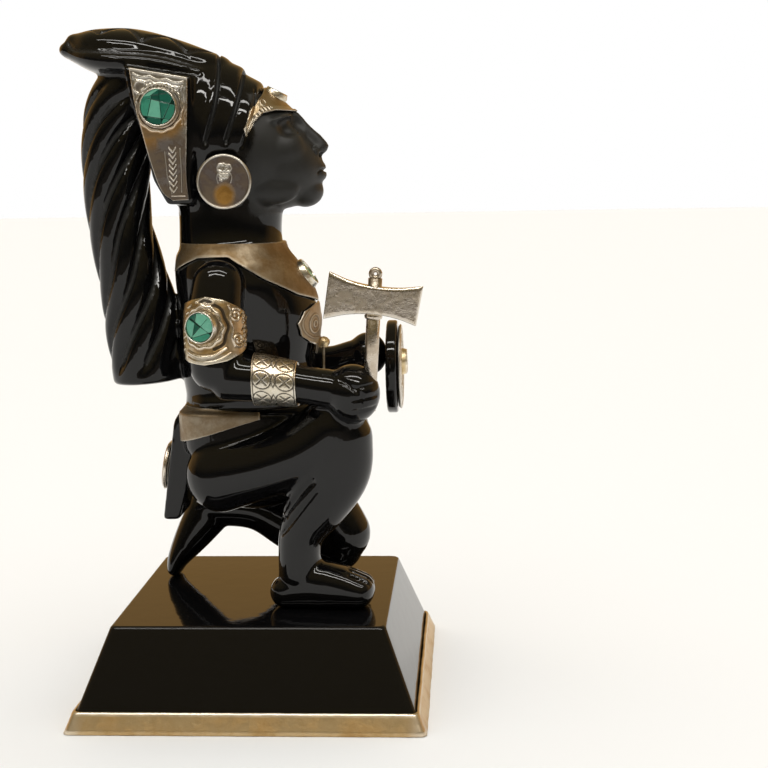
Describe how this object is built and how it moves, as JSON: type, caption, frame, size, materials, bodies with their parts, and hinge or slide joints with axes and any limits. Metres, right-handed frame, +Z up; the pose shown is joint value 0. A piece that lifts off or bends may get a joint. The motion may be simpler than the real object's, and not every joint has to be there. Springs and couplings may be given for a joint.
{
  "type": "obsidian god figurine",
  "caption": "Kneeling figure with swept crest, thick braid, axe and round shield, carved in black stone with silver sheet and green inlay, on a tapered square plinth; stands on a shelf.",
  "frame": {"origin": "centre of the plinth's underside", "axes": "+X is the way the figure faces, +Y its left, +Z up"},
  "size_m": [0.137, 0.13, 0.2515],
  "materials": {
    "obsidian": "polished",
    "silver": "worn, with a brown patina",
    "malachite": "polished"
  },
  "bodies": {
    "root": {"figure": "obsidian", "plinth": "obsidian", "plinth_band": "silver", "headdress_plate_right": "silver", "headdress_stone_right": "malachite", "ear_disc_right": "silver", "armband_right": "silver", "armband_stone_right": "malachite", "wristband_right": "silver", "hip_plate_right": "silver", "headdress_plate_left": "silver", "headdress_stone_left": "malachite", "ear_disc_left": "silver", "armband_left": "silver", "armband_stone_left": "malachite", "wristband_left": "silver", "hip_plate_left": "silver", "diadem": "silver", "diadem_stone": "malachite", "cape": "silver", "brooch_stone": "malachite", "pendant": "silver", "apron": "silver", "flap_disc": "silver", "axe_handle": "silver", "axe_blade": "silver", "shield": "obsidian", "shield_plate": "silver", "shield_stone": "malachite"}
  },
  "joints": []
}
